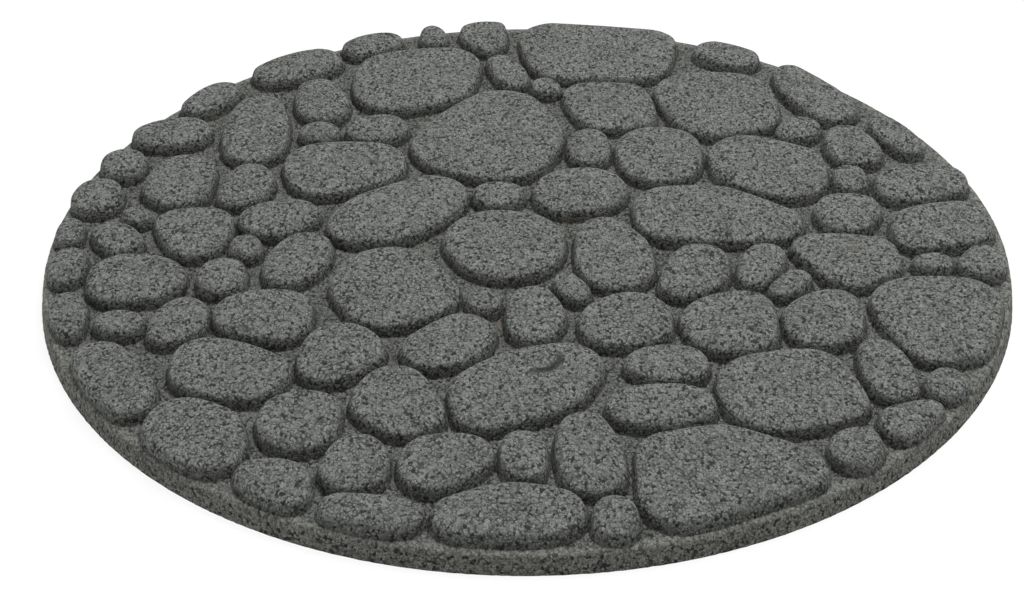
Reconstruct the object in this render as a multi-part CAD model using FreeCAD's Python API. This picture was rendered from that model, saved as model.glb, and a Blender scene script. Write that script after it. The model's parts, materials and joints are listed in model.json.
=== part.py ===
"""Round garden stepping stone: a mat moulded in one piece of crumb rubber, its top a bed of river stones."""
import FreeCAD, Part
import math
import os

# Driving dimensions, in millimetres
DISC_DIAMETER = 457.0     # across the foot of the outer wall
SLAB_THICKNESS = 9.0      # underside to the groove floor between the stones
WALL_LEAN = 1.5           # how far the outer wall leans in, so that the disc leaves its mould
RIM_ROUNDING = 2.0        # radius of the outer wall's top edge
STONE_RISE = 7.0          # groove floor to the tops of the stones
STONE_LEAN = 1.0          # how far a stone's side leans in between its foot and its shoulder
SHOULDER_WIDTH = 2.0      # rounded edge of a stone's top, measured inwards
SHOULDER_DROP = 2.0       # rounded edge of a stone's top, measured down
STONE_ROOT = 3.0          # depth to which a stone's side is carried into the slab
LUMP_RISE = 1.0           # height of the small lump above the stone that carries it
LUMP_SHOULDER = 0.8       # rounded edge of the lump, measured down
LUMP_LEAN = 0.0           # the lump's side below its rounded edge stands upright
BARE_RIM = 3.0            # outside of the disc's foot to the shoulder of the outermost stone

# How finely the rounds are cut
SIDE_LENGTH = 8.0         # one flat of a stone's outline, about
SUMMING_STEP = 5          # degrees between the directions in which an outline's length is summed
FEWEST_SIDES = 10         # flats round the smallest stone
ROUNDING_BANDS = 2        # flats across a rounded edge, of a stone's top or of the rim

# The stones, seen from above. Each is the outline that a tight band takes round a few circles,
# at the height of the stone's shoulder. A circle is written as x, y and radius.
BACK_BORDER = (
    ((-202, 72, 11), (-201, 66, 10)),
    ((-189, 99, 12), (-176, 102, 14)),
    ((-171, 130, 9), (-160, 145, 9)),
    ((-134, 166, 12), (-113, 179, 13)),
    ((-90, 195, 10), (-77, 202, 9)),
    ((-51, 204, 7), (-52, 214, 5)),
    ((-29, 215, 7), (-18, 217, 7), (-21, 198, 9)),
    ((16, 203, 19), (66, 198, 16), (58, 176, 19), (22, 178, 20)),
    ((103, 188, 11), (115, 181, 11)),
    ((141, 163, 8), (147, 145, 13), (159, 124, 13)),
    ((184, 107, 7), (193, 84, 7)),
)
LEFT_BORDER = (
    ((-210, 43, 11), (-210, 35, 12)),
    ((-218, 11, 5), (-218, 1, 6)),
    ((-214, -18, 8), (-214, -32, 7)),
    ((-209, -55, 7), (-206, -69, 6), (-204, -77, 5)),
    ((-187, -99, 12), (-176, -117, 14), (-170, -129, 11)),
)
FRONT_BORDER = (
    ((-145, -144, 15), (-135, -149, 15), (-146, -150, 15), (-131, -164, 14)),
    ((-109, -181, 10), (-101, -185, 13), (-96, -193, 8)),
    ((-75, -202, 8), (-62, -205, 10), (-51, -207, 9)),
    ((-25, -207, 13), (-5, -204, 17), (8, -205, 15)),
    ((35, -204, 8), (35, -212, 9)),
    ((62, -170, 17), (81, -168, 19), (108, -178, 14), (62, -196, 17)),
    ((135, -163, 10), (138, -160, 9), (135, -167, 10)),
    ((156, -144, 8), (170, -138, 6), (157, -150, 8)),
    ((181, -117, 8), (183, -119, 7), (179, -122, 8)),
)
RIGHT_BORDER = (
    ((178, -59, 22), (196, -56, 19), (188, -84, 18), (182, -87, 17)),
    ((208, -26, 7), (214, -19, 9), (213, -28, 8)),
    ((186, -24, 6), (191, -24, 7)),
    ((187, 1, 13), (188, 11, 13), (208, 17, 13), (208, 7, 14)),
    ((185, 44, 13), (185, 51, 12), (204, 52, 13), (206, 47, 10)),
)
BACK_FIELD = (
    ((-110, 146, 11), (-106, 127, 13)),
    ((-44, 174, 19), (-67, 165, 24), (-67, 148, 24), (-51, 154, 23)),
    ((-14, 177, 7), (-8, 163, 9), (-7, 157, 8)),
    ((10, 150, 7), (11, 148, 7)),
    ((33, 139, 13), (50, 138, 14), (55, 117, 12), (43, 121, 18)),
    ((90, 141, 22), (106, 139, 24), (116, 117, 15), (97, 116, 20)),
    ((137, 100, 9), (141, 104, 10)),
    ((163, 95, 10), (165, 79, 12), (168, 78, 11)),
)
LEFT_FIELD = (
    ((-139, 127, 12), (-139, 102, 17), (-138, 86, 15)),
    ((-107, 101, 9), (-105, 101, 9)),
    ((-80, 104, 12), (-74, 105, 13)),
    ((-170, 62, 15), (-172, 48, 17), (-170, 43, 14)),
    ((-137, 58, 10), (-137, 47, 12), (-141, 39, 10)),
    ((-101, 69, 20), (-79, 71, 18), (-98, 60, 21), (-77, 66, 16)),
    ((-189, 21, 6), (-187, 19, 6)),
    ((-166, 13, 12), (-154, 13, 13), (-157, -5, 12)),
    ((-125, 17, 13), (-114, 20, 14), (-120, 14, 13)),
    ((-198, 4, 9), (-192, -3, 10)),
    ((-133, -6, 7), (-132, -11, 7)),
    ((-104, -9, 12), (-108, -22, 14), (-111, -30, 11)),
    ((-185, -33, 18), (-176, -35, 18), (-186, -39, 16)),
    ((-141, -30, 11), (-141, -37, 11)),
)
MIDDLE_FIELD = (
    ((-13, 122, 22), (-11, 98, 30), (-28, 89, 30), (-15, 82, 29)),
    ((32, 93, 9), (32, 78, 10)),
    ((66, 84, 20), (70, 85, 18), (67, 70, 20)),
    ((-78, 12, 17), (-68, 19, 23), (-47, 38, 18), (-46, 30, 15)),
    ((-16, 39, 10), (-11, 39, 10), (-14, 37, 10)),
    ((24, 42, 20), (29, 43, 20), (22, 39, 18)),
    ((-13, -3, 26), (-8, -4, 26), (-9, -10, 26)),
    ((37, 4, 12), (41, -14, 18), (42, -28, 17)),
    ((-64, -34, 24), (-66, -41, 24), (-51, -48, 20), (-62, -53, 22)),
    ((-20, -52, 7), (-19, -57, 7)),
    ((18, -37, 5), (23, -49, 6)),
)
RIGHT_FIELD = (
    ((112, 75, 20), (131, 68, 18), (112, 64, 19), (129, 55, 20)),
    ((160, 56, 8), (160, 49, 8)),
    ((153, 24, 13), (159, 25, 12), (154, 18, 14)),
    ((71, 26, 19), (73, 16, 20), (90, 20, 25), (116, 12, 16)),
    ((136, -11, 11), (161, -15, 13), (161, -23, 13), (151, -30, 14)),
    ((81, -21, 13), (78, -32, 15), (72, -41, 11)),
    ((112, -17, 9), (107, -29, 9), (105, -36, 7)),
    ((125, -37, 6), (117, -46, 6)),
    ((139, -59, 12), (133, -70, 18), (129, -79, 12), (137, -77, 12)),
    ((98, -62, 14), (90, -72, 21), (89, -78, 18), (98, -81, 13)),
    ((154, -96, 9), (157, -114, 11), (158, -121, 10)),
)
FRONT_FIELD = (
    ((-186, -71, 8), (-181, -72, 9)),
    ((-155, -62, 10), (-156, -72, 12), (-160, -79, 9)),
    ((-124, -64, 17), (-112, -61, 15), (-112, -71, 15)),
    ((-140, -99, 15), (-138, -108, 17), (-119, -110, 16), (-121, -114, 16)),
    ((-82, -89, 16), (-80, -93, 17), (-86, -103, 14)),
    ((-29, -81, 15), (-33, -87, 16), (-40, -92, 15)),
    ((3, -54, 10), (4, -69, 13), (3, -76, 11)),
    ((47, -67, 18), (43, -71, 19), (40, -75, 16), (49, -73, 16)),
    ((54, -104, 11), (66, -104, 13)),
    ((16, -106, 17), (4, -116, 24), (-10, -125, 23), (-17, -136, 15)),
    ((105, -120, 23), (121, -112, 18), (130, -131, 15), (108, -128, 25)),
    ((48, -135, 14), (67, -134, 13)),
    ((-57, -120, 14), (-57, -131, 18), (-51, -139, 16)),
    ((-98, -140, 15), (-93, -138, 14), (-96, -148, 17)),
    ((-70, -166, 11), (-71, -177, 14)),
    ((-37, -170, 15), (-27, -168, 13), (-38, -178, 14)),
    ((-2, -162, 9), (-1, -175, 9)),
    ((24, -150, 10), (25, -165, 14), (27, -181, 13)),
)
STONES = (BACK_BORDER + LEFT_BORDER + FRONT_BORDER + RIGHT_BORDER
          + BACK_FIELD + LEFT_FIELD + MIDDLE_FIELD + RIGHT_FIELD + FRONT_FIELD)

# Small lump that stands on one of the stones
LUMP = ((4, -102, 6), (7, -106, 6))

# Values worked out from the driving dimensions
DISC_RADIUS = DISC_DIAMETER / 2
LAYOUT_REACH = max(math.hypot(x, y) + radius for circles in STONES for x, y, radius in circles)
LAYOUT_SCALE = (DISC_RADIUS - BARE_RIM) / LAYOUT_REACH
STONE_TOP = SLAB_THICKNESS + STONE_RISE


def band_reach(circles, angle):
    """How far a tight band round the circles reaches from the disc's axis in one direction."""
    along, across = math.cos(angle), math.sin(angle)
    return LAYOUT_SCALE * max(x * along + y * across + radius for x, y, radius in circles)


def side_count(circles):
    """Number of flats in a stone's outline, from the band's length: the sum of its reaches all round."""
    angles = [math.radians(turn) for turn in range(0, 360, SUMMING_STEP)]
    length = sum(band_reach(circles, angle) for angle in angles) * math.radians(SUMMING_STEP)
    return max(FEWEST_SIDES, round(length / SIDE_LENGTH))


def stone_section(circles, inset, height):
    """Corners of a stone's outline with every flat moved inwards by an inset, at a height."""
    sides = side_count(circles)
    step = 2 * math.pi / sides
    reaches = [band_reach(circles, side * step) - inset for side in range(sides)]
    corners = []
    for side in range(sides):
        reach, next_reach = reaches[side - 1], reaches[side]
        angle, next_angle = (side - 1) * step, side * step
        corners.append(FreeCAD.Vector(
            (reach * math.sin(next_angle) - next_reach * math.sin(angle)) / math.sin(step),
            (next_reach * math.cos(angle) - reach * math.cos(next_angle)) / math.sin(step),
            height))
    return corners


def rounded_edge(width, drop):
    """Steps up a rounded edge, each as the distance inwards and the height below the top."""
    angles = [math.pi / 2 * band / ROUNDING_BANDS for band in range(ROUNDING_BANDS + 1)]
    return [(width * (1 - math.cos(angle)), drop * (1 - math.sin(angle))) for angle in angles]


def flat_face(corners):
    """Plane face within a closed row of corners."""
    return Part.Face(Part.makePolygon(corners + corners[:1]))


def stone_pad(circles, floor, top, shoulder_drop, lean):
    """A stone on a floor: leaning side, rounded shoulder and flat top, its root sunk into the floor."""
    shoulder = top - shoulder_drop
    root = floor - STONE_ROOT
    sections = [stone_section(circles, -lean * (shoulder - root) / (shoulder - floor), root)]
    for inset, below in rounded_edge(SHOULDER_WIDTH, shoulder_drop):
        sections.append(stone_section(circles, inset, top - below))
    faces = [flat_face(sections[0]), flat_face(sections[-1])]
    for lower, upper in zip(sections, sections[1:]):
        for side in range(len(lower)):
            faces.append(flat_face([lower[side - 1], lower[side], upper[side], upper[side - 1]]))
    return Part.Solid(Part.Shell(faces))


def make_slab():
    """Plain round slab: half of its section, with the rim's rounded edge, turned about the upright axis."""
    rim = DISC_RADIUS - WALL_LEAN
    section = [FreeCAD.Vector(0, 0, 0), FreeCAD.Vector(DISC_RADIUS, 0, 0)]
    for inset, below in rounded_edge(RIM_ROUNDING, RIM_ROUNDING):
        section.append(FreeCAD.Vector(rim - inset, 0, SLAB_THICKNESS - below))
    section.append(FreeCAD.Vector(0, 0, SLAB_THICKNESS))
    return flat_face(section).revolve(FreeCAD.Vector(0, 0, 0), FreeCAD.Vector(0, 0, 1), 360)


def make_stepping_stone():
    """The slab with all its stones, fused into one moulding."""
    pads = [stone_pad(circles, SLAB_THICKNESS, STONE_TOP, SHOULDER_DROP, STONE_LEAN) for circles in STONES]
    pads.append(stone_pad(LUMP, STONE_TOP, STONE_TOP + LUMP_RISE, LUMP_SHOULDER, LUMP_LEAN))
    return make_slab().multiFuse(pads).removeSplitter()


if __name__ == "__main__":
    os.makedirs("parts", exist_ok=True)
    make_stepping_stone().exportStep("parts/stepping_stone.step")
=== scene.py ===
"""Garden stepping stone: the look of a round crumb rubber mat with a top moulded as a bed of river stones."""
import json
import math

import bmesh
import bpy
from mathutils import Matrix, Vector, noise

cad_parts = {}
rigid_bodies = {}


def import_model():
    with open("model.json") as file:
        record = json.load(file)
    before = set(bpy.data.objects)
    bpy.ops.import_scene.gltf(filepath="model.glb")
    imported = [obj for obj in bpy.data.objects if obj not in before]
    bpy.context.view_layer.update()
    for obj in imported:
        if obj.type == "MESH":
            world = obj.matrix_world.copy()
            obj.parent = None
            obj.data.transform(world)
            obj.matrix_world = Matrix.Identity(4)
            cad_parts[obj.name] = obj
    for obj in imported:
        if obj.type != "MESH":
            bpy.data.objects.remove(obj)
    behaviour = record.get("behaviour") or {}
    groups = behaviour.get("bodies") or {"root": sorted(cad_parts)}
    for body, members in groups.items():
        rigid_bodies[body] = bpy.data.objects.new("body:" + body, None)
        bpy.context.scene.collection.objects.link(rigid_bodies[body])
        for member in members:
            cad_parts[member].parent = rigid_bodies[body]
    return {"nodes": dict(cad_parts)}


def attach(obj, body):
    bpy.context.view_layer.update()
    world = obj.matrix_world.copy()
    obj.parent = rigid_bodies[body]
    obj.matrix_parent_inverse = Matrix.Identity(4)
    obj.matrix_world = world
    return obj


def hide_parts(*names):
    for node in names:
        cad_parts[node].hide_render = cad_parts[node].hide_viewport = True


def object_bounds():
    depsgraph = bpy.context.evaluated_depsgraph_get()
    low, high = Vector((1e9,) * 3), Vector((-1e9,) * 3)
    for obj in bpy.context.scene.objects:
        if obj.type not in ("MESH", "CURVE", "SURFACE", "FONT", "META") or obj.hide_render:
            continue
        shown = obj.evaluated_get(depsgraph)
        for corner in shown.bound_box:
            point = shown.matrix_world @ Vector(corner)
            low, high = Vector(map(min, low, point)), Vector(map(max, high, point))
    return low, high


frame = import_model()
CAD_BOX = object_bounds()
NODE = "stepping_stone"

bl_info = {
    "name": "Garden Stepping Stone",
    "version": (1, 0, 0),
    "blender": (4, 5, 0),
    "location": "View3D > Sidebar > Stepping Stone",
    "description": "Models a round crumb rubber mat with a river-stone top, its finish and its stage",
    "category": "Object",
}

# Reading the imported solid: z of a level face's normal, lengths in metres, an angle
LEVEL = 0.9999
HEIGHT_DIGITS = 5
SAME_HEIGHT = 1e-5
SAME_PLACE = 1e-6
ABOVE_GROOVES = 0.001
FLAT_ANGLE = math.radians(0.5)

# Facets of the slab, the width of the uneven places on its wall in metres, and the angle of a sharp edge
WALL_CUTS = 4
RIM_SEGMENTS = 4
WALL_GRAIN_WIDTH = 0.0022
SHARP_ANGLE = math.radians(40)

# Crumbs: distances in crumb widths, chances and shares from 0 to 1
GAP_EDGES = (0.38, 0.62)
GAP_CHANCE = (0.32, 0.65)
GAP_DEPTH = 0.85
MISSING_CHANCE = (0.06, 0.16)
CRUMB_TONE = 0.6
DUST_TONE = 0.4
DUST_PITS = 0.6
CLOUD_SCALE = 60.0
CLOUD_DETAIL = 2.0
CLOUD_EDGES = (0.3, 0.7)
CLOUD_TONE = 0.08
PIT_DEPTH = 0.5
BUMP_STRENGTH = 0.6
BUMP_DISTANCE = 0.0005
SHINE = 0.2

# Bare rim: distance in from the outer edge, height of its edge from the groove floor, strength of its pits on
# the wall and on the ledge, which also paints the wall darker than the ledge as painted shade
BARE_RIM = (0.0045, 0.0075)
RIM_EDGE = (-0.0016, -0.0004)
WALL_PITS_AND_SHADE = 1.0
LEDGE_PITS_AND_LIGHT = 0.8

# Painted shade in the grooves and at the stones' feet: heights from the groove floor, and where there is less
# of it, along X and along Y
STONE_FOOT = (0.00003, 0.0003)
SHADE_BOTTOM = (-0.0003, 0.0006)
SHADE_TOP = (0.0008, 0.0042)
FLOOR_SHADE = 0.2
RIGHT_SIDE = (0.0, 0.2)
RIGHT_SHADE = 0.7
FRONT_SIDE = (-0.19, -0.06)
FRONT_SHADE = 0.65

# Painted shadow along the front of the lump: distances from the lump's edge, the side it is on, and its
# strength
LUMP_SHADOW_START = (0.0006, 0.0015)
LUMP_SHADOW_END = (0.0032, 0.0052)
LUMP_SHADOW_SIDE = (0.7, -0.7, 0)
LUMP_SHADOW_REACH = 0.9
LUMP_SHADOW_STRENGTH = 0.85

# Rust-coloured spots on the mat: where a spot fades, and x, y and z of each spot's middle, in metres
RUST_EDGES = (0.0005, 0.0035)
RUST_SPOTS = (
    (0.0750, 0.1180, 0.0100),
    (-0.1545, -0.0340, 0.0100),
    (0.0210, 0.0210, 0.0100),
    (-0.0130, -0.0660, 0.0100),
    (0.1530, -0.0150, 0.0160),
)

# Stage: the floor, the soft lights as name, place and width in metres, and the white of floor and background
FLOOR_SIZE = 6.0
FLOOR_DROP = 0.0001
FLOOR_GLOW = 0.88
WHITE = (0.985, 0.985, 0.985, 1)
NEAREST_SEEN = 0.01
SOFT_LIGHTS = (
    ("overhead", (0.25, 0.35, 1.5), 1.0),
    ("left", (-1.5, -0.6, 0.7), 0.9),
    ("right", (1.4, -0.3, 0.9), 0.9),
)


class MatShape(bpy.types.PropertyGroup):
    """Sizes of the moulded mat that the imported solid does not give."""
    wall_lean: bpy.props.FloatProperty(
        name="Wall lean", description="How far the outer wall leans in up to the rim",
        default=0.0015, unit="LENGTH")
    rim_rounding: bpy.props.FloatProperty(
        name="Rim rounding", description="Radius of the outer wall's top edge",
        default=0.0013, unit="LENGTH")
    rim_facets: bpy.props.IntProperty(
        name="Rim facets", description="Flats round the outer wall", default=720)
    wall_grain: bpy.props.FloatProperty(
        name="Wall grain", description="Depth of the crumbs' unevenness round the outer wall",
        default=0.0005, unit="LENGTH", precision=5)
    foot_height: bpy.props.FloatProperty(
        name="Foot height",
        description="Height above the groove floor at which a stone's side starts to flare",
        default=0.0015, unit="LENGTH", precision=5)
    foot_spread: bpy.props.FloatProperty(
        name="Foot spread",
        description="How far a stone's side leans out from its shoulder to where it flares",
        default=0.0008, unit="LENGTH", precision=5)
    flare_depth: bpy.props.FloatProperty(
        name="Flare depth", description="How far a stone's flared foot is carried below the groove floor",
        default=0.0005, unit="LENGTH", precision=5)
    flare_spread: bpy.props.FloatProperty(
        name="Flare spread", description="How far a stone's flared foot spreads beyond its side",
        default=0.0014, unit="LENGTH", precision=5)
    side_fullness: bpy.props.FloatProperty(
        name="Side fullness", description="How far a stone's side is moved out to make up for the rounding",
        default=0.0006, unit="LENGTH", precision=5)
    top_fullness: bpy.props.FloatProperty(
        name="Top fullness",
        description="How far the edge of a stone's top is moved out to make up for the rounding",
        default=0.0013, unit="LENGTH", precision=5)
    crown: bpy.props.FloatProperty(
        name="Crown", description="Rise of a stone's top from its edge to its middle", default=0.0002,
        unit="LENGTH", precision=5)
    smoothing: bpy.props.IntProperty(
        name="Smoothing", description="Subdivision steps that round the stones' outlines and edges",
        default=2)
    unevenness: bpy.props.FloatProperty(
        name="Unevenness", description="Depth of the gentle dents in the stones",
        default=0.0004, unit="LENGTH", precision=5)
    dent_size: bpy.props.FloatProperty(
        name="Dent size", description="Width of the gentle dents in the stones",
        default=0.014, unit="LENGTH")


class CrumbFinish(bpy.types.PropertyGroup):
    """Colours and grain of the crumb rubber."""
    crumb_size: bpy.props.FloatProperty(
        name="Crumb size", description="Width of the rubber crumbs", default=0.00120, unit="LENGTH",
        precision=5)
    crumb_stretch: bpy.props.FloatProperty(
        name="Crumb stretch", description="A crumb's width as a share of its length along Y", default=0.78,
        subtype="FACTOR", min=0, max=1)
    dust_size: bpy.props.FloatProperty(
        name="Dust size", description="Width of the fine crumbs between them", default=0.0007, unit="LENGTH",
        precision=5)
    dark_crumb: bpy.props.FloatVectorProperty(
        name="Dark crumb", description="Colour of the darkest crumbs", subtype="COLOR", size=4,
        default=(0.081, 0.084, 0.079, 1))
    light_crumb: bpy.props.FloatVectorProperty(
        name="Light crumb", description="Colour of the lightest crumbs", subtype="COLOR", size=4,
        default=(0.193, 0.201, 0.189, 1))
    # The pit colour is also the colour of the painted shadow in front of the lump
    pit_and_shadow: bpy.props.FloatVectorProperty(
        name="Pit", description="Colour in the pits between crumbs", subtype="COLOR", size=4,
        default=(0.014, 0.015, 0.014, 1))
    rim_cast: bpy.props.FloatVectorProperty(
        name="Rim cast", description="What the colour is multiplied by on the rim and the outer wall",
        subtype="COLOR", size=4, default=(1.05, 1.035, 0.985, 1))
    # Painted shade: the colour is multiplied by this at the stones' feet and on the groove floor, where shade
    # falls
    painted_shade: bpy.props.FloatVectorProperty(
        name="Grime", description="What the colour is multiplied by where dirt has settled", subtype="COLOR",
        size=4, default=(0.42, 0.415, 0.38, 1))
    rust: bpy.props.FloatVectorProperty(
        name="Rust", description="Colour of the rust-coloured spots", subtype="COLOR", size=4,
        default=(0.085, 0.055, 0.046, 1))
    roughness: bpy.props.FloatProperty(
        name="Roughness", description="Roughness of the rubber", default=0.9, subtype="FACTOR", min=0, max=1)


class StageSetup(bpy.types.PropertyGroup):
    """Floor, light and camera."""
    floor_colour: bpy.props.FloatVectorProperty(
        name="Floor colour", description="Colour of the plain floor", subtype="COLOR", size=4,
        default=(0.88, 0.88, 0.88, 1))
    overhead_power: bpy.props.FloatProperty(
        name="Overhead power", description="Power of the soft light above and behind", default=33.0,
        unit="POWER")
    left_power: bpy.props.FloatProperty(
        name="Left power", description="Power of the soft light on the left", default=7.5, unit="POWER")
    right_power: bpy.props.FloatProperty(
        name="Right power", description="Power of the soft light on the right", default=5.0, unit="POWER")
    sky: bpy.props.FloatProperty(
        name="Sky", description="Strength of the even light from all round", default=0.26)
    eye: bpy.props.FloatVectorProperty(
        name="Eye", description="Where the camera stands", subtype="TRANSLATION", size=3, unit="LENGTH",
        default=(0.0, -0.88874, 0.57300))
    pan: bpy.props.FloatProperty(
        name="Pan", description="Camera's turn to the right", default=math.radians(-0.4540), unit="ROTATION")
    tilt: bpy.props.FloatProperty(
        name="Tilt", description="Camera's turn downwards", default=math.radians(33.8220), unit="ROTATION")
    roll: bpy.props.FloatProperty(
        name="Roll", description="Camera's turn about its own axis", default=math.radians(-0.4335),
        unit="ROTATION")
    lens: bpy.props.FloatProperty(
        name="Lens", description="Focal length for a 36 mm wide picture", default=77.75,
        subtype="DISTANCE_CAMERA")


def put(tree, kind, inputs=None, **settings):
    """Adds a node to a tree with its settings and inputs. An input that is a socket is linked."""
    node = tree.nodes.new(kind)
    for key, value in settings.items():
        setattr(node, key, value)
    for key, value in (inputs or {}).items():
        if isinstance(value, bpy.types.NodeSocket):
            tree.links.new(value, node.inputs[key])
        else:
            node.inputs[key].default_value = value
    return node


def maths(tree, operation, first, second=0.0):
    """Output of a Math node on two values."""
    return put(tree, "ShaderNodeMath", {0: first, 1: second}, operation=operation).outputs[0]


def vector_maths(tree, operation, first, second=(0, 0, 0)):
    """Outputs of a Vector Math node on two vectors."""
    return put(tree, "ShaderNodeVectorMath", {0: first, 1: second}, operation=operation).outputs


def ramp(tree, value, low, high, start=0.0, end=1.0):
    """Output of a smooth Map Range node from low..high to start..end."""
    return put(tree, "ShaderNodeMapRange",
               {"Value": value, "From Min": low, "From Max": high, "To Min": start, "To Max": end},
               interpolation_type="SMOOTHSTEP").outputs["Result"]


def tint(tree, factor, first, second, blend="MIX"):
    """Output of a colour Mix node."""
    node = put(tree, "ShaderNodeMix", data_type="RGBA", blend_type=blend)
    for socket, value in zip((node.inputs[0], node.inputs[6], node.inputs[7]), (factor, first, second)):
        if isinstance(value, bpy.types.NodeSocket):
            tree.links.new(value, socket)
        else:
            socket.default_value = value
    return node.outputs[2]


def crumb_bed_group():
    """Node group for a bed of crumbs: a tone for each crumb, the pits between them and the crumbs' height."""
    group = bpy.data.node_groups.new("crumb_bed", "ShaderNodeTree")
    face = group.interface
    face.new_socket("Position", in_out="INPUT", socket_type="NodeSocketVector")
    face.new_socket("Crumb Size", in_out="INPUT", socket_type="NodeSocketFloat")
    for name in ("Tone", "Pits", "Height"):
        face.new_socket(name, in_out="OUTPUT", socket_type="NodeSocketFloat")
    given = put(group, "NodeGroupInput").outputs
    result = put(group, "NodeGroupOutput")
    scale = maths(group, "DIVIDE", 1.0, given["Crumb Size"])
    cells = put(group, "ShaderNodeTexVoronoi", {"Vector": given["Position"], "Scale": scale})
    chance = put(group, "ShaderNodeSeparateColor", {"Color": cells.outputs["Color"]}).outputs
    away = cells.outputs["Distance"]
    gaps = maths(group, "MULTIPLY", ramp(group, away, *GAP_EDGES), ramp(group, chance["Green"], *GAP_CHANCE))
    missing = ramp(group, chance["Blue"], *MISSING_CHANCE, 1.0, 0.0)
    pits = maths(group, "MAXIMUM", maths(group, "MULTIPLY", gaps, GAP_DEPTH), missing)
    height = maths(group, "SUBTRACT", 1.0, away)
    for name, socket in (("Tone", chance["Red"]), ("Pits", pits), ("Height", height)):
        group.links.new(socket, result.inputs[name])
    return group


def crumb_rubber(finish, groove_floor, radius, lump, lump_radius):
    """Crumb rubber: crumbs and pits, painted shade in the grooves, a painted shadow in front of the lump,
    rust-coloured spots.
    """
    material = bpy.data.materials.new("crumb_rubber")
    material.use_nodes = True
    tree = material.node_tree
    tree.nodes.clear()
    bed = crumb_bed_group()
    position = put(tree, "ShaderNodeTexCoord").outputs["Object"]
    place = put(tree, "ShaderNodeSeparateXYZ", {0: position}).outputs
    above_floor = maths(tree, "SUBTRACT", place["Z"], groove_floor)
    across = vector_maths(tree, "LENGTH", vector_maths(tree, "MULTIPLY", position, (1, 1, 0))[0])["Value"]
    from_edge = maths(tree, "SUBTRACT", radius, across)

    grained = put(tree, "ShaderNodeMapping", {"Vector": position, "Scale": (1.0, finish.crumb_stretch, 1.0)})
    crumbs = put(tree, "ShaderNodeGroup", node_tree=bed)
    dust = put(tree, "ShaderNodeGroup", node_tree=bed)
    for node, size in ((crumbs, finish.crumb_size), (dust, finish.dust_size)):
        tree.links.new(grained.outputs[0], node.inputs["Position"])
        node.inputs["Crumb Size"].default_value = size
    clouds = put(tree, "ShaderNodeTexNoise",
                 {"Vector": position, "Scale": CLOUD_SCALE, "Detail": CLOUD_DETAIL}).outputs["Fac"]

    tone = maths(tree, "ADD", maths(tree, "MULTIPLY", crumbs.outputs["Tone"], CRUMB_TONE),
                 maths(tree, "MULTIPLY", dust.outputs["Tone"], DUST_TONE))
    tone = maths(tree, "ADD", tone, ramp(tree, clouds, *CLOUD_EDGES, -CLOUD_TONE, CLOUD_TONE))
    colour = tint(tree, tone, finish.dark_crumb, finish.light_crumb)
    pits = maths(tree, "MAXIMUM", crumbs.outputs["Pits"],
                 maths(tree, "MULTIPLY", dust.outputs["Pits"], DUST_PITS))

    within_rim = ramp(tree, from_edge, *BARE_RIM)
    on_stone = ramp(tree, above_floor, *STONE_FOOT)
    open_part = maths(tree, "MAXIMUM", within_rim, on_stone)
    # Fewer pits on the ledge than on the outer wall: a softer texture on the ledge, and painted shade that
    # keeps the wall darker than the ledge
    rim_pits_and_shade = ramp(tree, above_floor, *RIM_EDGE, WALL_PITS_AND_SHADE, LEDGE_PITS_AND_LIGHT)
    pits = maths(tree, "MULTIPLY", pits, maths(tree, "MAXIMUM", open_part, rim_pits_and_shade))
    colour = tint(tree, open_part, tint(tree, 1.0, colour, finish.rim_cast, "MULTIPLY"), colour)
    colour = tint(tree, pits, colour, finish.pit_and_shadow)

    # Painted shade at the stones' feet and on the groove floor, weaker towards the right and the front
    rising = ramp(tree, above_floor, *SHADE_BOTTOM, FLOOR_SHADE, 1.0)
    fading = ramp(tree, above_floor, *SHADE_TOP, 1.0, 0.0)
    painted_shade = maths(tree, "MULTIPLY", maths(tree, "MULTIPLY", rising, fading), open_part)
    amount = maths(tree, "MINIMUM", ramp(tree, place["X"], *RIGHT_SIDE, 1.0, RIGHT_SHADE),
                   ramp(tree, place["Y"], *FRONT_SIDE, FRONT_SHADE, 1.0))
    painted_shade = maths(tree, "MULTIPLY", painted_shade, amount)
    colour = tint(tree, painted_shade, colour, finish.painted_shade, "MULTIPLY")

    # Painted shadow: a dark crescent painted round the front and right of the lump, where its shade falls
    from_lump = vector_maths(tree, "SUBTRACT", position, lump)[0]
    off = maths(tree, "SUBTRACT", vector_maths(tree, "LENGTH", from_lump)["Value"], lump_radius)
    way = vector_maths(tree, "DOT_PRODUCT", from_lump, LUMP_SHADOW_SIDE)["Value"]
    near = maths(tree, "MULTIPLY", ramp(tree, off, *LUMP_SHADOW_START), ramp(tree, off, *LUMP_SHADOW_END, 1.0, 0.0))
    lump_shadow = maths(tree, "MULTIPLY", near,
                   ramp(tree, way, 0.0, LUMP_SHADOW_REACH * lump_radius, 0.0, LUMP_SHADOW_STRENGTH))
    colour = tint(tree, lump_shadow, colour, finish.pit_and_shadow)

    for spot in RUST_SPOTS:
        away = vector_maths(tree, "DISTANCE", position, spot)["Value"]
        patch = maths(tree, "MULTIPLY", ramp(tree, away, *RUST_EDGES, 1.0, 0.0), crumbs.outputs["Tone"])
        colour = tint(tree, patch, colour, finish.rust)

    relief = maths(tree, "SUBTRACT", crumbs.outputs["Height"],
                   maths(tree, "MULTIPLY", crumbs.outputs["Pits"], PIT_DEPTH))
    bump = put(tree, "ShaderNodeBump",
               {"Height": relief, "Strength": BUMP_STRENGTH, "Distance": BUMP_DISTANCE})
    shader = put(tree, "ShaderNodeBsdfPrincipled",
                 {"Base Color": colour, "Roughness": finish.roughness, "Specular IOR Level": SHINE,
                  "Normal": bump.outputs["Normal"]})
    put(tree, "ShaderNodeOutputMaterial", {"Surface": shader.outputs["BSDF"]})
    return material


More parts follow.
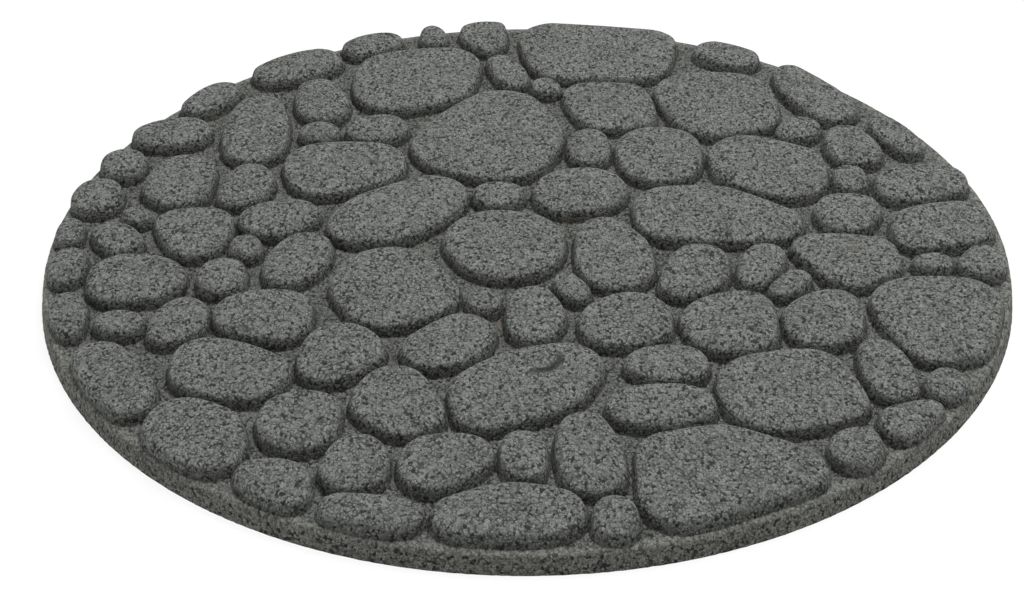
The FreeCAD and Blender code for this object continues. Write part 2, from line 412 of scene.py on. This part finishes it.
def level_heights(mesh):
    """Heights of the mesh's level faces that look up, lowest first."""
    return sorted({round(face.center.z, HEIGHT_DIGITS) for face in mesh.polygons if face.normal.z > LEVEL})


def lump_place(mesh):
    """Middle and radius of the lump, the highest level face of the solid."""
    highest = max(vertex.co.z for vertex in mesh.vertices)
    corners = [vertex.co for vertex in mesh.vertices if vertex.co.z > highest - SAME_HEIGHT]
    middle = sum(corners, Vector()) / len(corners)
    return middle, sum((corner - middle).length for corner in corners) / len(corners)


def shoulder_rings(mesh, groove_floor):
    """The stones' rounded edges, cut from a merged copy of the solid: one ring of facets for each stone."""
    rings = bmesh.new()
    rings.from_mesh(mesh)
    bmesh.ops.remove_doubles(rings, verts=rings.verts, dist=SAME_PLACE)
    rings.normal_update()
    shoulder = min(v.co.z for v in rings.verts if v.co.z > groove_floor + ABOVE_GROOVES)
    gone = [f for f in rings.faces
            if f.normal.z > LEVEL or min(v.co.z for v in f.verts) < shoulder - SAME_HEIGHT]
    bmesh.ops.delete(rings, geom=gone, context="FACES")
    bmesh.ops.dissolve_limit(rings, angle_limit=FLAT_ANGLE, verts=rings.verts, edges=rings.edges)
    between = [e for e in rings.edges
               if not e.is_boundary and abs(e.verts[0].co.z - e.verts[1].co.z) < SAME_HEIGHT]
    bmesh.ops.dissolve_edges(rings, edges=between, use_verts=True)
    return rings


def drop_skirt(cage, edges, height, spread, reach):
    """Carries open edges down to a height and outwards, within a reach of the axis. Gives the new edges."""
    skirt = bmesh.ops.extrude_edge_only(cage, edges=edges)["geom"]
    feet = [part for part in skirt if isinstance(part, bmesh.types.BMVert)]
    for foot in feet:
        foot.co.z = height
    bmesh.ops.recalc_face_normals(cage, faces=cage.faces)
    cage.normal_update()
    outwards = [Vector((foot.normal.x, foot.normal.y, 0)).normalized() for foot in feet]
    for foot, way in zip(feet, outwards):
        foot.co += way * spread
        across = math.hypot(foot.co.x, foot.co.y)
        if across > reach:
            foot.co.xy *= reach / across
    return [part for part in skirt if isinstance(part, bmesh.types.BMEdge)]


def rough_stones(mesh, shape, groove_floor, radius):
    """Coarse cages of the stones: flared feet, sides, rounded edges and crowned tops, open below."""
    cage = shoulder_rings(mesh, groove_floor)
    cage.normal_update()
    outwards = {corner: Vector((corner.normal.x, corner.normal.y, 0)).normalized() for corner in cage.verts}
    lower, upper = [], []
    for edge in cage.edges:
        if edge.is_boundary:
            middle = (edge.verts[0].co + edge.verts[1].co) / 2
            is_lower = edge.link_faces[0].calc_center_median().z > middle.z
            (lower if is_lower else upper).append(edge)
    for edges, fullness in ((lower, shape.side_fullness), (upper, shape.top_fullness)):
        for corner in {corner for edge in edges for corner in edge.verts}:
            corner.co += outwards[corner] * fullness
    tops = bmesh.ops.holes_fill(cage, edges=upper, sides=0)["faces"]
    if not tops:
        raise RuntimeError("No stone tops were found in the packed solid")
    bmesh.ops.poke(cage, faces=tops, offset=shape.crown, center_mode="MEAN")
    rim = radius - shape.wall_lean
    feet = drop_skirt(cage, lower, groove_floor + shape.foot_height, shape.foot_spread, rim)
    drop_skirt(cage, feet, groove_floor - shape.flare_depth, shape.flare_spread,
               rim - shape.rim_rounding / 2)
    return cage


def smooth_stones(cage, shape):
    """The stones' cages rounded by subdivision and dented a little, as a mesh."""
    mesh = bpy.data.meshes.new("stones")
    cage.to_mesh(mesh)
    cage.free()
    stones = bpy.data.objects.new("stones", mesh)
    bpy.context.scene.collection.objects.link(stones)
    rounding = stones.modifiers.new("rounding", "SUBSURF")
    rounding.levels = rounding.render_levels = shape.smoothing
    clouds = bpy.data.textures.new("dents", "CLOUDS")
    clouds.noise_scale = shape.dent_size
    dents = stones.modifiers.new("dents", "DISPLACE")
    dents.texture = clouds
    dents.texture_coords = "LOCAL"
    dents.strength = shape.unevenness
    rounded = bpy.data.meshes.new_from_object(stones.evaluated_get(bpy.context.evaluated_depsgraph_get()))
    bpy.data.objects.remove(stones)
    return rounded


def slab_mesh(shape, radius, groove_floor):
    """Plain round slab with a leaning wall, a rounded rim and the crumbs' unevenness round its wall."""
    slab = bmesh.new()
    foot = bmesh.ops.create_circle(slab, cap_ends=True, segments=shape.rim_facets, radius=radius)["verts"]
    base = foot[0].link_faces[0]
    rise = bmesh.ops.extrude_face_region(slab, geom=[base], use_keep_orig=True)["geom"]
    top = [part for part in rise if isinstance(part, bmesh.types.BMVert)]
    bmesh.ops.translate(slab, verts=top, vec=(0, 0, groove_floor))
    narrow = (radius - shape.wall_lean) / radius
    bmesh.ops.scale(slab, verts=top, vec=(narrow, narrow, 1))
    sides = [e for e in slab.edges if abs(e.verts[0].co.z - e.verts[1].co.z) > groove_floor / 2]
    bmesh.ops.subdivide_edges(slab, edges=sides, cuts=WALL_CUTS, use_grid_fill=True)
    rim = [e for e in slab.edges if min(v.co.z for v in e.verts) > groove_floor - SAME_PLACE]
    bmesh.ops.bevel(slab, geom=rim, offset=shape.rim_rounding, offset_type="OFFSET", segments=RIM_SEGMENTS,
                    profile=0.5, affect="EDGES", clamp_overlap=True, material=-1)
    for vertex in slab.verts:
        if vertex.co.z < groove_floor - SAME_HEIGHT:
            bite = shape.wall_grain * (0.5 + 0.5 * noise.noise(vertex.co / WALL_GRAIN_WIDTH))
            vertex.co.xy *= 1 - bite / radius
    mesh = bpy.data.meshes.new("slab")
    bmesh.ops.recalc_face_normals(slab, faces=slab.faces)
    slab.to_mesh(mesh)
    slab.free()
    return mesh


def joined_faces(start):
    """All faces that hang together with a face, in the order in which they are reached."""
    reached = {start}
    faces = [start]
    for face in faces:
        for edge in face.edges:
            for other in edge.link_faces:
                if other not in reached:
                    reached.add(other)
                    faces.append(other)
    return faces


def shell_mesh(faces):
    """Mesh of one closed stone, from its faces."""
    shell = bmesh.new()
    corners = {}
    for face in faces:
        for corner in face.verts:
            if corner not in corners:
                corners[corner] = shell.verts.new(corner.co)
        shell.faces.new([corners[corner] for corner in face.verts])
    bmesh.ops.recalc_face_normals(shell, faces=shell.faces)
    mesh = bpy.data.meshes.new("stone")
    shell.to_mesh(mesh)
    shell.free()
    return mesh


def separate_stones(stones):
    """Meshes of the stones, closed below, one for each stone."""
    whole = bmesh.new()
    whole.from_mesh(stones)
    bmesh.ops.holes_fill(whole, edges=[e for e in whole.edges if e.is_boundary], sides=0)
    done = set()
    meshes = []
    for start in whole.faces:
        if start not in done:
            faces = joined_faces(start)
            done.update(faces)
            meshes.append(shell_mesh(faces))
    whole.free()
    return meshes


def unite(slab, stones):
    """The slab and the stones joined as one closed skin."""
    group = bpy.data.collections.new("stones")
    bpy.context.scene.collection.children.link(group)
    for stone in separate_stones(stones):
        group.objects.link(bpy.data.objects.new("stone", stone))
    body = bpy.data.objects.new("slab", slab)
    bpy.context.scene.collection.objects.link(body)
    join = body.modifiers.new("join", "BOOLEAN")
    join.operation = "UNION"
    join.operand_type = "COLLECTION"
    join.collection = group
    join.solver = "MANIFOLD"
    mesh = bpy.data.meshes.new_from_object(body.evaluated_get(bpy.context.evaluated_depsgraph_get()))
    mesh.name = "moulded_mat"
    mesh.materials.clear()
    for part in [body, *group.objects]:
        bpy.data.objects.remove(part)
    bpy.data.collections.remove(group)
    return mesh


def smooth_shading(mesh, groove_floor):
    """Shades a mesh smooth between sharp edges, and flat on the groove floor."""
    mesh.shade_smooth()
    mesh.set_sharp_from_angle(angle=SHARP_ANGLE)
    for face in mesh.polygons:
        if all(abs(mesh.vertices[corner].co.z - groove_floor) < SAME_PLACE for corner in face.vertices):
            face.use_smooth = False


class STEPPINGSTONE_OT_mat(bpy.types.Operator):
    """Model the moulded mat: slab, rim and stones in one piece"""
    bl_idname = "stepping_stone.mat"
    bl_label = "Moulded Mat"

    def execute(self, context):
        shape = context.scene.stepping_stone_shape
        finish = context.scene.stepping_stone_finish
        solid = frame["nodes"][NODE].data
        groove_floor = level_heights(solid)[0]
        radius = min(abs(corner[axis]) for corner in CAD_BOX for axis in (0, 1))
        stones = smooth_stones(rough_stones(solid, shape, groove_floor, radius), shape)
        mesh = unite(slab_mesh(shape, radius, groove_floor), stones)
        for vertex in mesh.vertices:
            vertex.co.z = min(vertex.co.z, CAD_BOX[1].z)
        smooth_shading(mesh, groove_floor)
        mesh.materials.append(crumb_rubber(finish, groove_floor, radius, *lump_place(solid)))
        piece = bpy.data.objects.new("moulded_mat", mesh)
        context.scene.collection.objects.link(piece)
        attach(piece, "root")
        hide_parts(NODE)
        return {"FINISHED"}


def seen_by_eye(tree):
    """Output that is 1 for rays from the camera and for its mirror and glass rays."""
    rays = put(tree, "ShaderNodeLightPath").outputs
    seen = maths(tree, "MAXIMUM", rays["Is Camera Ray"], rays["Is Glossy Ray"])
    return maths(tree, "MAXIMUM", seen, rays["Is Transmission Ray"])


def floor_material(colour):
    """Plain pale floor that looks white, keeps a soft shadow and throws light back as a pale floor does."""
    material = bpy.data.materials.new("pale_floor")
    material.use_nodes = True
    tree = material.node_tree
    tree.nodes.clear()
    lit = put(tree, "ShaderNodeBsdfDiffuse", {"Color": colour}).outputs[0]
    white = put(tree, "ShaderNodeEmission", {"Color": WHITE, "Strength": 1.0}).outputs[0]
    part = maths(tree, "MULTIPLY", seen_by_eye(tree), FLOOR_GLOW)
    mixed = put(tree, "ShaderNodeMixShader", {0: part, 1: lit, 2: white}).outputs[0]
    put(tree, "ShaderNodeOutputMaterial", {"Surface": mixed})
    return material


def pale_world(sky):
    """White background to the eye, and a weaker even light on the object."""
    world = bpy.data.worlds.new("pale_world")
    world.use_nodes = True
    tree = world.node_tree
    tree.nodes.clear()
    strength = put(tree, "ShaderNodeMapRange",
                   {"Value": seen_by_eye(tree), "To Min": sky, "To Max": 1.0}).outputs[0]
    back = put(tree, "ShaderNodeBackground", {"Color": WHITE, "Strength": strength}).outputs[0]
    put(tree, "ShaderNodeOutputWorld", {"Surface": back})
    return world


def add_soft_light(name, place, size, power):
    """Square area light at a place, turned to the middle of the mat."""
    lamp = bpy.data.lights.new(name, "AREA")
    lamp.size = size
    lamp.energy = power
    light = bpy.data.objects.new(name, lamp)
    light.location = place
    light.rotation_euler = (-Vector(place)).to_track_quat("-Z", "Y").to_euler()
    bpy.context.scene.collection.objects.link(light)


def add_camera(stage):
    """Camera at the eye, turned by pan, tilt and roll."""
    lens = bpy.data.cameras.new("camera")
    lens.lens = stage.lens
    lens.clip_start = NEAREST_SEEN
    camera = bpy.data.objects.new("camera", lens)
    forward = Vector((math.sin(stage.pan) * math.cos(stage.tilt), math.cos(stage.pan) * math.cos(stage.tilt),
                      -math.sin(stage.tilt)))
    right = Vector((math.cos(stage.pan), -math.sin(stage.pan), 0))
    level = Matrix((right, right.cross(forward), -forward)).transposed()
    rolled = level.to_4x4() @ Matrix.Rotation(stage.roll, 4, "Z")
    camera.matrix_world = Matrix.Translation(stage.eye) @ rolled
    bpy.context.scene.collection.objects.link(camera)
    bpy.context.scene.camera = camera


class STEPPINGSTONE_OT_stage(bpy.types.Operator):
    """Set up the floor, the light and the camera"""
    bl_idname = "stepping_stone.stage"
    bl_label = "Stage"

    def execute(self, context):
        stage = context.scene.stepping_stone_stage
        ground = bmesh.new()
        bmesh.ops.create_grid(ground, x_segments=1, y_segments=1, size=FLOOR_SIZE)
        bmesh.ops.translate(ground, verts=ground.verts, vec=(0, 0, -FLOOR_DROP))
        mesh = bpy.data.meshes.new("floor")
        ground.to_mesh(mesh)
        ground.free()
        mesh.materials.append(floor_material(stage.floor_colour))
        floor = bpy.data.objects.new("floor", mesh)
        context.scene.collection.objects.link(floor)
        context.scene.world = pale_world(stage.sky)
        for name, place, size in SOFT_LIGHTS:
            add_soft_light(name, place, size, getattr(stage, name + "_power"))
        add_camera(stage)
        context.scene.view_settings.view_transform = "Standard"
        return {"FINISHED"}


class STEPPINGSTONE_PT_panel(bpy.types.Panel):
    """Sizes, finish and stage of the stepping stone"""
    bl_idname = "STEPPINGSTONE_PT_panel"
    bl_label = "Stepping Stone"
    bl_space_type = "VIEW_3D"
    bl_region_type = "UI"
    bl_category = "Stepping Stone"

    def draw(self, context):
        scene = context.scene
        for group, operator in ((scene.stepping_stone_shape, None),
                                (scene.stepping_stone_finish, STEPPINGSTONE_OT_mat.bl_idname),
                                (scene.stepping_stone_stage, STEPPINGSTONE_OT_stage.bl_idname)):
            column = self.layout.column()
            for name in group.bl_rna.properties.keys():
                if name not in ("rna_type", "name"):
                    column.prop(group, name)
            if operator:
                column.operator(operator)


CLASSES = (MatShape, CrumbFinish, StageSetup, STEPPINGSTONE_OT_mat, STEPPINGSTONE_OT_stage,
           STEPPINGSTONE_PT_panel)
GROUPS = {"stepping_stone_shape": MatShape, "stepping_stone_finish": CrumbFinish,
          "stepping_stone_stage": StageSetup}


def register():
    """Register the classes and hang the property groups on the scene."""
    for cls in CLASSES:
        bpy.utils.register_class(cls)
    for name, group in GROUPS.items():
        setattr(bpy.types.Scene, name, bpy.props.PointerProperty(type=group))


def unregister():
    """Take the property groups off the scene and unregister the classes."""
    for name in GROUPS:
        delattr(bpy.types.Scene, name)
    for cls in reversed(CLASSES):
        bpy.utils.unregister_class(cls)


def main():
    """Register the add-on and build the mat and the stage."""
    register()
    bpy.ops.stepping_stone.mat()
    bpy.ops.stepping_stone.stage()


if __name__ == "__main__":
    main()
